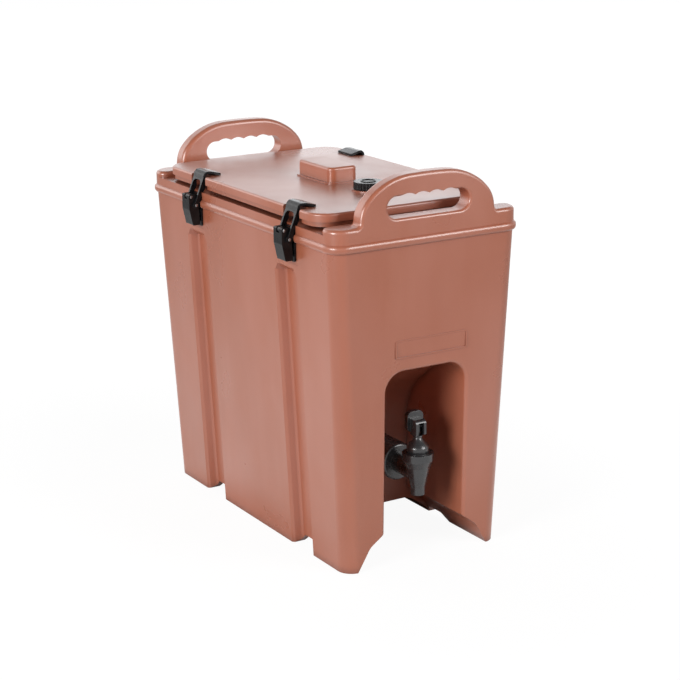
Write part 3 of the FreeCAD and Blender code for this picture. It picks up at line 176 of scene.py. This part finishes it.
FOAM_COLOUR = (0.80, 0.72, 0.50)
FOAM_DEEP = (0.62, 0.52, 0.32)
FOAM_ROUGHNESS = 0.9
FOAM_SHEEN = 0.2
FOAM_CELLS = {"scale": 700, "detail": 4}
FOAM_CELLS_HIGH = 0.4 * MM
GASKET_COLOUR = (0.35, 0.35, 0.34)
GASKET_WORN = (0.45, 0.45, 0.44)
WASHER_COLOUR = (0.02, 0.02, 0.02)
WASHER_WORN = (0.05, 0.05, 0.05)
RUBBER_ROUGHNESS = 0.7
RUBBER_SHEEN = 0.35
RUBBER_BLOOM = {"scale": 120, "detail": 4}
RUBBER_BLOOM_SPREAD = (0.4, 0.7)
RUBBER_GRAIN = {"scale": 1200, "detail": 2}
RUBBER_GRAIN_HIGH = 0.05 * MM
STEEL = {"colour": (0.30, 0.30, 0.31), "deep": (0.20, 0.20, 0.20), "roughness": 0.24}
BRASS = {"colour": (0.70, 0.52, 0.24), "deep": (0.55, 0.38, 0.16), "roughness": 0.35}
PIN_STEEL = {"colour": (0.38, 0.38, 0.39), "deep": (0.25, 0.25, 0.25), "roughness": 0.16}
METAL_SHEEN = 0.5
METAL_SMOOTHER = 0.06
METAL_ROUGHER = 0.1
METAL_LINES = {"scale": 300, "detail": 3, "stretch": (1, 0.05, 1)}
METAL_HANDLING = {"scale": 500, "detail": 3}
METAL_DRAWN = {"scale": 900, "detail": 2, "stretch": (1, 0.05, 1)}
METAL_DRAWN_HIGH = 0.02 * MM

# Tap bonnet, radii and heights in millimetres

BONNET_BORE = 2.3
BONNET_SKIRT = 8.7
BONNET_FLANGE = 14
BELL_FOOT = 11.8
BELL_RADIUS = 12.2
BELL_RUN_IN = 7.8
NECK_RING = 4.8
NECK_ROUND = 0.9
SKIRT_LOW = 109.5
FLANGE_LOW = 115.5
FLANGE_TOP = 118
BELL_EDGE = 118.6
BELL_BEND = 123.4
BELL_RUN_HIGH = 12.8
NECK_RING_HIGH = 137.1
BONNET_TOP = 138
BELL_STEPS = 22
NECK_STEPS = 7

# Latch pins and tap spring

AROUND = 64
PIN_AROUND = 32
PIN_STEPS = 8
PIN_DOME = 0.9 * MM
PIN_DOME_TURN = np.pi / 2 * 0.98
STUB_LENGTH = 5.55 * MM
SPRING_RADIUS = 5.4 * MM
SPRING_WIRE = 0.55 * MM
SPRING_TURNS = 5
SPRING_STEPS = 30
WIRE_AROUND = 12


# Camera, light and floor


def add_camera():
    """A long lens at the eye's height above a table edge, looking slightly down."""
    camera = bpy.data.cameras.new("camera")
    camera.lens = CAMERA_LENS
    camera.sensor_width = SENSOR
    camera.sensor_fit = "HORIZONTAL"
    camera.clip_end = CAMERA_REACH
    eye = bpy.data.objects.new("camera", camera)
    eye.location = CAMERA_PLACE
    eye.rotation_euler = [math.radians(turn) for turn in CAMERA_TURN]
    bpy.context.collection.objects.link(eye)
    bpy.context.scene.camera = eye


def mixed_values(tree, share, first, second):
    """A value that runs from the first to the second as the share goes from 0 to 1."""
    mix = tree.nodes.new("ShaderNodeMix")
    mix.data_type = "FLOAT"
    for socket, value in ((0, share), (2, first), (3, second)):
        if isinstance(value, (int, float)):
            mix.inputs[socket].default_value = value
        else:
            tree.links.new(value, mix.inputs[socket])
    return mix.outputs[0]


def mirrored_ray(tree, path):
    """1 on rays that come from gloss or through clear surfaces, and 0 on the rest."""
    total = tree.nodes.new("ShaderNodeMath")
    total.operation = "ADD"
    total.use_clamp = True
    tree.links.new(path.outputs["Is Glossy Ray"], total.inputs[0])
    tree.links.new(path.outputs["Is Transmission Ray"], total.inputs[1])
    return total.outputs[0]


def add_world():
    """White where it is seen, white near the horizon and dim overhead in reflections, and a
    weak even light on everything else."""
    world = bpy.data.worlds.new("studio")
    bpy.context.scene.world = world
    world.use_nodes = True
    tree = world.node_tree
    tree.nodes.clear()
    out = tree.nodes.new("ShaderNodeOutputWorld")
    path = tree.nodes.new("ShaderNodeLightPath")
    direction = tree.nodes.new("ShaderNodeTexCoord")
    parts = tree.nodes.new("ShaderNodeSeparateXYZ")
    tree.links.new(direction.outputs["Generated"], parts.inputs[0])
    upward = parts.outputs["Z"]
    light = ranged(tree, upward, AMBIENT_HEIGHTS, AMBIENT)
    gloss = ranged(tree, upward, GLOSS_HEIGHTS, GLOSS)
    unseen = mixed_values(tree, mirrored_ray(tree, path), light, gloss)
    strength = mixed_values(tree, path.outputs["Is Camera Ray"], unseen, 1)
    studio = tree.nodes.new("ShaderNodeBackground")
    studio.inputs["Color"].default_value = (*WHITE, 1)
    tree.links.new(strength, studio.inputs["Strength"])
    tree.links.new(studio.outputs[0], out.inputs[0])


def add_lamp(name, place, aim, size, power, colour):
    """A square soft light at a place, turned towards a point."""
    light = bpy.data.lights.new(name, "AREA")
    light.shape = "SQUARE"
    light.size = size
    light.energy = power
    light.color = colour
    lamp = bpy.data.objects.new(name, light)
    lamp.location = place
    step = np.subtract(aim, place)
    flat = math.hypot(step[0], step[1])
    lamp.rotation_euler = (math.pi / 2 + math.atan2(step[2], flat), 0, math.atan2(-step[0], step[1]))
    bpy.context.collection.objects.link(lamp)


def add_floor():
    """A wide pale disc under the feet, a grid of rings and spokes in one plane."""
    rings = np.linspace(FLOOR_MIDDLE, FLOOR_RADIUS, FLOOR_RINGS)
    spokes = np.linspace(0, 2 * np.pi, FLOOR_SPOKES, endpoint=False)
    radius, angle = np.meshgrid(rings, spokes, indexing="ij")
    places = np.stack([radius * np.cos(angle), radius * np.sin(angle), np.zeros_like(radius)], axis=-1)
    floor = grid_mesh("floor", places, wrap=True, cap_first=True)
    paint(floor, floor_finish())


# Meshes from grids of points


def grid_mesh(name, places, wrap=False, loop=False, cap_first=False, cap_last=False):
    """A mesh from rows of points. Each face joins two neighbours of one row to the same two
    of the next. wrap joins the ends of each row, loop joins the last row to the first, and a
    cap closes the first or last row."""
    rows, across = places.shape[:2]
    index = np.arange(rows * across).reshape(rows, across)
    aside = np.roll(index, -1, axis=1) if wrap else index[:, 1:]
    here = index if wrap else index[:, :-1]
    last = rows if loop else rows - 1
    above, above_aside = np.roll(here, -1, axis=0), np.roll(aside, -1, axis=0)
    quads = np.stack([here[:last], aside[:last], above_aside[:last], above[:last]], axis=-1)
    faces = quads.reshape(-1, 4).tolist()
    if cap_first:
        faces.append(index[0, ::-1].tolist())
    if cap_last:
        faces.append(index[-1].tolist())
    mesh = bpy.data.meshes.new(name)
    mesh.from_pydata(places.reshape(-1, 3).tolist(), [], faces)
    mesh.validate()
    mesh.update()
    mesh.shade_smooth()
    mesh.set_sharp_from_angle(angle=SHARP_ANGLE)
    item = bpy.data.objects.new(name, mesh)
    bpy.context.collection.objects.link(item)
    return item


def turned_points(radii, places, centre, axis, around):
    """A profile turned about an axis. Each row of points is a circle, with one row's radius
    and its place along the axis, and the rows run anticlockwise seen against the axis."""
    angle = np.linspace(0, 2 * np.pi, around, endpoint=False)
    radii, angle = np.meshgrid(np.asarray(radii), angle, indexing="ij")
    along = np.broadcast_to(np.asarray(places)[:, None], radii.shape)
    first, second = radii * np.cos(angle), radii * np.sin(angle)
    if axis == "Z":
        return np.stack([centre[0] + first, centre[1] + second, along], axis=-1)
    return np.stack([centre[0] + second, along, centre[2] + first], axis=-1)


def paint(item, finish):
    """Gives every face of an object one material."""
    item.data.materials.clear()
    item.data.materials.append(finish)


# Finishes


def new_finish(name, colour, roughness, sheen, coat=0.0):
    """A principled material with its constants set, its shader and its node tree."""
    finish = bpy.data.materials.new(name)
    finish.use_nodes = True
    tree = finish.node_tree
    shader = tree.nodes["Principled BSDF"]
    shader.inputs["Base Color"].default_value = (*colour, 1)
    shader.inputs["Roughness"].default_value = roughness
    shader.inputs["Specular IOR Level"].default_value = sheen
    shader.inputs["Coat Weight"].default_value = coat
    return finish, shader, tree


def noise(tree, scale, detail, stretch=(1, 1, 1)):
    """Noise on Object coordinates, with its features scaled along each axis."""
    place = tree.nodes.new("ShaderNodeTexCoord")
    mapping = tree.nodes.new("ShaderNodeMapping")
    mapping.inputs["Scale"].default_value = stretch
    pattern = tree.nodes.new("ShaderNodeTexNoise")
    pattern.inputs["Scale"].default_value = scale
    pattern.inputs["Detail"].default_value = detail
    tree.links.new(place.outputs["Object"], mapping.inputs["Vector"])
    tree.links.new(mapping.outputs["Vector"], pattern.inputs["Vector"])
    return pattern.outputs["Fac"]


def ranged(tree, value, span, reach):
    """A value moved from one range, low to high, to another and kept inside it."""
    scaled = tree.nodes.new("ShaderNodeMapRange")
    scaled.inputs["From Min"].default_value = span[0]
    scaled.inputs["From Max"].default_value = span[1]
    scaled.inputs["To Min"].default_value = reach[0]
    scaled.inputs["To Max"].default_value = reach[1]
    tree.links.new(value, scaled.inputs["Value"])
    return scaled.outputs["Result"]


def blend_colours(tree, value, first, second):
    """A colour that runs from the first to the second as the value goes from 0 to 1."""
    mix = tree.nodes.new("ShaderNodeMix")
    mix.data_type = "RGBA"
    for socket, colour in ((6, first), (7, second)):
        if isinstance(colour, tuple):
            mix.inputs[socket].default_value = (*colour, 1)
        else:
            tree.links.new(colour, mix.inputs[socket])
    tree.links.new(value, mix.inputs[0])
    return mix.outputs[2]


def painted_shade_mask(tree):
    """Mask for painted shade: 1 on open surfaces, falling to 0 in crevices, where other surfaces stand
    close and the case colour is darkened.
    """
    shelter = tree.nodes.new("ShaderNodeAmbientOcclusion")
    shelter.samples = PAINTED_SHADE_SAMPLES
    shelter.inputs["Distance"].default_value = PAINTED_SHADE_REACH
    return ranged(tree, shelter.outputs["AO"], PAINTED_SHADE_SPREAD, FULL)


def rounded_edges(tree):
    """The surface's direction as if its sharp edges were slightly rounded."""
    rounding = tree.nodes.new("ShaderNodeBevel")
    rounding.samples = EDGE_SAMPLES
    rounding.inputs["Radius"].default_value = EDGE_ROUND
    return rounding.outputs["Normal"]


def relief(tree, shader, *layers, normal=None):
    """Bump from several heights laid on each other, and on a first direction if one is given.
    A layer is (height, distance in metres)."""
    for height, distance in layers:
        bump = tree.nodes.new("ShaderNodeBump")
        bump.inputs["Distance"].default_value = distance
        tree.links.new(height, bump.inputs["Height"])
        if normal is not None:
            tree.links.new(normal, bump.inputs["Normal"])
        normal = bump.outputs["Normal"]
    tree.links.new(normal, shader.inputs["Normal"])


def moulded_case_finish():
    """Rotomoulded plastic: a terracotta colour with slow drifts whose tall pale patches are partly
    painted sheen, a fine orange-peel skin, faint handling marks, painted shade in crevices and a satin
    sheen that varies a little."""
    finish, shader, tree = new_finish("moulded_case", CASE_COLOUR, CASE_ROUGHNESS, CASE_SHEEN, CASE_COAT)
    shader.inputs["Coat Roughness"].default_value = CASE_COAT_ROUGHNESS
    # Tall drift patches: partly random tone, partly painted sheen
    drift_and_sheen = ranged(tree, noise(tree, **CASE_DRIFT_AND_SHEEN), CORE, FULL)
    body = blend_colours(tree, drift_and_sheen, CASE_DEEP, CASE_PALE_AND_SHEEN)
    grain = ranged(tree, noise(tree, **CASE_GRAIN), MOST, CASE_GRAIN_SHARE)
    flecked = blend_colours(tree, grain, body, CASE_FLECK)
    marks = ranged(tree, noise(tree, **CASE_MARKS), CASE_MARKS_SPREAD, CASE_MARKS_SHARE)
    worn = blend_colours(tree, marks, flecked, CASE_WORN)
    # Painted shade: crevices darken towards a deep red
    with_painted_shade = blend_colours(tree, painted_shade_mask(tree), CASE_PAINTED_SHADE, worn)
    tree.links.new(with_painted_shade, shader.inputs["Base Color"])
    handling = ranged(tree, noise(tree, **CASE_HANDLING), MOST,
                      (CASE_ROUGHNESS - CASE_SMOOTHER, CASE_ROUGHNESS + CASE_ROUGHER))
    tree.links.new(handling, shader.inputs["Roughness"])
    relief(tree, shader, (noise(tree, **CASE_WAVES), CASE_WAVES_HIGH),
           (noise(tree, **CASE_PEEL), CASE_PEEL_HIGH))
    return finish


def black_nylon_finish():
    """Moulded black nylon with a fine spark-eroded grain and paler, rubbed patches."""
    finish, shader, tree = new_finish("black_nylon", NYLON_COLOUR, NYLON_ROUGH, NYLON_SHEEN)
    rubbed = ranged(tree, noise(tree, **NYLON_RUBBED), NYLON_RUBBED_SPREAD, FULL)
    tree.links.new(blend_colours(tree, rubbed, NYLON_COLOUR, NYLON_WORN), shader.inputs["Base Color"])
    handling = ranged(tree, noise(tree, **NYLON_HANDLING), MOST, (NYLON_SMOOTH, NYLON_ROUGH))
    tree.links.new(handling, shader.inputs["Roughness"])
    relief(tree, shader, (noise(tree, **NYLON_GRAIN), NYLON_GRAIN_HIGH), normal=rounded_edges(tree))
    return finish


def tap_plastic_finish():
    """Polished black plastic with faint flow lines."""
    finish, shader, tree = new_finish("tap_plastic", TAP_COLOUR, TAP_ROUGHNESS, TAP_SHEEN)
    cloud = ranged(tree, noise(tree, **TAP_CLOUD), MOST, FULL)
    tree.links.new(blend_colours(tree, cloud, TAP_COLOUR, TAP_PALE), shader.inputs["Base Color"])
    handling = ranged(tree, noise(tree, **TAP_HANDLING), MOST,
                      (TAP_ROUGHNESS - TAP_ROUGHNESS_SPREAD, TAP_ROUGHNESS + TAP_ROUGHNESS_SPREAD))
    tree.links.new(handling, shader.inputs["Roughness"])
    relief(tree, shader, (noise(tree, **TAP_FLOW), TAP_FLOW_HIGH), normal=rounded_edges(tree))
    return finish


def foam_finish():
    """Cream rigid foam with open cells."""
    finish, shader, tree = new_finish("foam", FOAM_COLOUR, FOAM_ROUGHNESS, FOAM_SHEEN)
    cells = ranged(tree, noise(tree, **FOAM_CELLS), CORE, FULL)
    tree.links.new(blend_colours(tree, cells, FOAM_COLOUR, FOAM_DEEP), shader.inputs["Base Color"])
    relief(tree, shader, (noise(tree, **FOAM_CELLS), FOAM_CELLS_HIGH))
    return finish


def rubber_finish(name, colour, worn):
    """Dull rubber with a dusty bloom."""
    finish, shader, tree = new_finish(name, colour, RUBBER_ROUGHNESS, RUBBER_SHEEN)
    bloom = ranged(tree, noise(tree, **RUBBER_BLOOM), RUBBER_BLOOM_SPREAD, FULL)
    tree.links.new(blend_colours(tree, bloom, colour, worn), shader.inputs["Base Color"])
    relief(tree, shader, (noise(tree, **RUBBER_GRAIN), RUBBER_GRAIN_HIGH))
    return finish


def metal_finish(name, colour, deep, roughness):
    """Drawn metal with fine lines along one axis."""
    finish, shader, tree = new_finish(name, colour, roughness, METAL_SHEEN)
    shader.inputs["Metallic"].default_value = 1
    lines = ranged(tree, noise(tree, **METAL_LINES), CORE, FULL)
    tree.links.new(blend_colours(tree, lines, colour, deep), shader.inputs["Base Color"])
    handling = ranged(tree, noise(tree, **METAL_HANDLING), MOST,
                      (roughness - METAL_SMOOTHER, roughness + METAL_ROUGHER))
    tree.links.new(handling, shader.inputs["Roughness"])
    relief(tree, shader, (noise(tree, **METAL_DRAWN), METAL_DRAWN_HIGH))
    return finish


def multiplied(tree, first, second):
    """The product of two values."""
    product = tree.nodes.new("ShaderNodeMath")
    product.operation = "MULTIPLY"
    tree.links.new(first, product.inputs[0])
    tree.links.new(second, product.inputs[1])
    return product.outputs[0]


def footprint_distance(tree):
    """Distance from the middle on Object coordinates, in half widths and half depths of the
    case, so that it is about 1 at the case's foot."""
    place = tree.nodes.new("ShaderNodeTexCoord")
    mapping = tree.nodes.new("ShaderNodeMapping")
    mapping.inputs["Scale"].default_value = (1 / CASE_HALF_WIDTH, 1 / CASE_HALF_DEPTH, 1)
    length = tree.nodes.new("ShaderNodeVectorMath")
    length.operation = "LENGTH"
    tree.links.new(place.outputs["Object"], mapping.inputs["Vector"])
    tree.links.new(mapping.outputs["Vector"], length.inputs[0])
    return length.outputs["Value"]


def floor_finish():
    """A matt floor that keeps the object's shadow, white where it is seen and fading into
    the background further out. It throws only part of its light back up at the object. In
    gloss it is white near the object, dark under it and duller far away."""
    finish, shader, tree = new_finish("floor", FLOOR_COLOUR, FLOOR_ROUGHNESS, FLOOR_SHEEN)
    path = tree.nodes.new("ShaderNodeLightPath")
    thrown = ranged(tree, path.outputs["Is Diffuse Ray"], FULL, FLOOR_THROWN)
    tone = multiplied(tree, ranged(tree, noise(tree, **FLOOR_CLOUD), MOST, FLOOR_TONES), thrown)
    shade = tree.nodes.new("ShaderNodeCombineColor")
    for socket in shade.inputs:
        tree.links.new(tone, socket)
    tree.links.new(shade.outputs[0], shader.inputs["Base Color"])
    glossy = mirrored_ray(tree, path)
    distance = footprint_distance(tree)
    glow = tree.nodes.new("ShaderNodeEmission")
    glow.inputs["Color"].default_value = (*WHITE, 1)
    strength = mixed_values(tree, glossy, FLOOR_WHITE, ranged(tree, distance, MIRROR_DISTANCES, MIRROR))
    tree.links.new(strength, glow.inputs["Strength"])
    viewed = multiplied(tree, path.outputs["Is Camera Ray"], ranged(tree, distance, GLOW_DISTANCES, GLOW))
    share = mixed_values(tree, glossy, viewed, ranged(tree, distance, FOOT_DISTANCES, FULL))
    mix = tree.nodes.new("ShaderNodeMixShader")
    tree.links.new(share, mix.inputs["Fac"])
    tree.links.new(shader.outputs[0], mix.inputs[1])
    tree.links.new(glow.outputs[0], mix.inputs[2])
    tree.links.new(mix.outputs[0], tree.nodes["Material Output"].inputs["Surface"])
    return finish


def dress_nodes():
    """Gives each CAD node that shows its finish, by its material slot."""
    finishes = {
        "case_plastic": moulded_case_finish(),
        "black_nylon": black_nylon_finish(),
        "tap_plastic": tap_plastic_finish(),
        "foam": foam_finish(),
        "gasket_rubber": rubber_finish("gasket_rubber", GASKET_COLOUR, GASKET_WORN),
        "black_rubber": rubber_finish("black_rubber", WASHER_COLOUR, WASHER_WORN),
        "steel": metal_finish("steel", **STEEL),
        "brass": metal_finish("brass", **BRASS),
    }
    for entry in frame["record"]["subparts"]:
        paint(NODES[entry["node"]], finishes[entry["material_slot"]])
    return finishes


# Pieces formed more fully than their solids


def take_over(item, node, body, finish):
    """Puts a piece in the place of a node, on the node's body, painted with the given finish."""
    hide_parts(node)
    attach(item, body)
    paint(item, finish)


def middle_of(node):
    """The middle of a node's box."""
    low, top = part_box(node)
    return [(first + second) / 2 for first, second in zip(low, top)]


def bell_bonnet(finish):
    """The tap's bonnet: a flange and skirt in the cup, and a bell over them. The bell's radius
    stays level for the first part of its height and then runs in to the neck as a smooth
    step, 3 t squared less 2 t cubed, with t from 0 to 1 over the rest of its height."""
    step = np.linspace(0, 1, BELL_STEPS)
    bell = BELL_RADIUS - BELL_RUN_IN * (3 * step**2 - 2 * step**3)
    bell_high = BELL_BEND + BELL_RUN_HIGH * step
    neck = np.linspace(-np.pi / 2, np.pi / 2, NECK_STEPS)
    radii = np.concatenate([
        [BONNET_BORE, BONNET_SKIRT, BONNET_SKIRT, BONNET_FLANGE, BONNET_FLANGE, BELL_FOOT, BELL_RADIUS],
        bell, NECK_RING + NECK_ROUND * np.cos(neck), [BONNET_BORE]])
    high = np.concatenate([
        [SKIRT_LOW, SKIRT_LOW, FLANGE_LOW, FLANGE_LOW, FLANGE_TOP, FLANGE_TOP, BELL_EDGE],
        bell_high, NECK_RING_HIGH + NECK_ROUND * np.sin(neck), [BONNET_TOP]])
    places = turned_points(radii * MM, high * MM, middle_of("faucet_bonnet"), "Z", AROUND)
    item = grid_mesh("tap_bonnet", places, wrap=True, loop=True)
    take_over(item, "faucet_bonnet", "case", finish)


def domed_pin(name, node, spans, body, finish):
    """A pin along Y with shallow domed ends, one turned form for each span of the node. The
    radius of a dome is the pin's radius times the cosine of an angle and its rise is the
    dome's depth times the sine."""
    low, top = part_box(node)
    radius = (top[0] - low[0]) / 2
    turn = np.linspace(0, PIN_DOME_TURN, PIN_STEPS)
    radii = radius * np.concatenate([np.cos(turn[::-1]), np.cos(turn)])
    fall = PIN_DOME * (1 - np.sin(turn))
    forms = []
    for start, end in spans(low[1], top[1]):
        along = np.concatenate([start + fall[::-1], end - fall])
        places = turned_points(radii, along, middle_of(node), "Y", PIN_AROUND)
        forms.append(grid_mesh(name, places, wrap=True, cap_first=True, cap_last=True))
    item = joined(forms)
    take_over(item, node, body, finish)


def joined(items):
    """One object that holds the meshes of several."""
    first = items[0]
    if len(items) > 1:
        with bpy.context.temp_override(active_object=first, selected_editable_objects=items):
            bpy.ops.object.join()
    return first


def whole(low, top):
    """One span, from end to end."""
    return [(low, top)]


def stubs(low, top):
    """Two short spans, one at each end."""
    return [(low, low + STUB_LENGTH), (top - STUB_LENGTH, top)]


def latch_pins(finish):
    """The pins of the four latches. A lever's pin stays with the case, and a hook's stubs
    ride with the hook."""
    for side in ("left", "right"):
        for row in ("front", "rear"):
            latch = f"latch_{side}_{row}"
            domed_pin(f"{latch}_pivot", f"{latch}_lever_pin", whole, "case", finish)
            domed_pin(f"{latch}_stubs", f"{latch}_link_pins", stubs, f"{latch}_hook", finish)


def closing_spring(finish):
    """The tap's closing spring: a round wire along a helix. A point of the wire's middle goes round the
    stem at one radius while it rises evenly, and a circle of the wire's radius stands square to that
    line."""
    low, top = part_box("faucet_spring")
    middle = middle_of("faucet_spring")
    along = np.linspace(0, 1, SPRING_STEPS * SPRING_TURNS + 1)[:, None]
    angle = 2 * np.pi * SPRING_TURNS * along
    zero = np.zeros_like(angle)
    rise = top[2] - low[2] - 2 * SPRING_WIRE
    radial = np.stack([np.cos(angle), np.sin(angle), zero], axis=-1)
    onward = np.stack([-SPRING_RADIUS * np.sin(angle), SPRING_RADIUS * np.cos(angle),
                       zero + rise / (2 * np.pi * SPRING_TURNS)], axis=-1)
    upright = np.cross(onward / np.linalg.norm(onward, axis=-1, keepdims=True), radial)
    round_wire = np.linspace(0, 2 * np.pi, WIRE_AROUND, endpoint=False)[None, :, None]
    line = SPRING_RADIUS * radial + np.stack([zero, zero, low[2] + SPRING_WIRE + rise * along], axis=-1)
    places = line + SPRING_WIRE * (np.cos(round_wire) * radial + np.sin(round_wire) * upright)
    places += np.array([middle[0], middle[1], 0])
    item = grid_mesh("tap_spring", places, wrap=True, cap_first=True, cap_last=True)
    take_over(item, "faucet_spring", "case", finish)
    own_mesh(item)


bpy.context.scene.view_settings.view_transform = "Standard"
add_camera()
add_world()
for lamp_name, lamp in LAMPS.items():
    add_lamp(lamp_name, **lamp)
add_floor()
FINISHES = dress_nodes()
bell_bonnet(FINISHES["tap_plastic"])
closing_spring(FINISHES["steel"])
latch_pins(metal_finish("pin_steel", **PIN_STEEL))
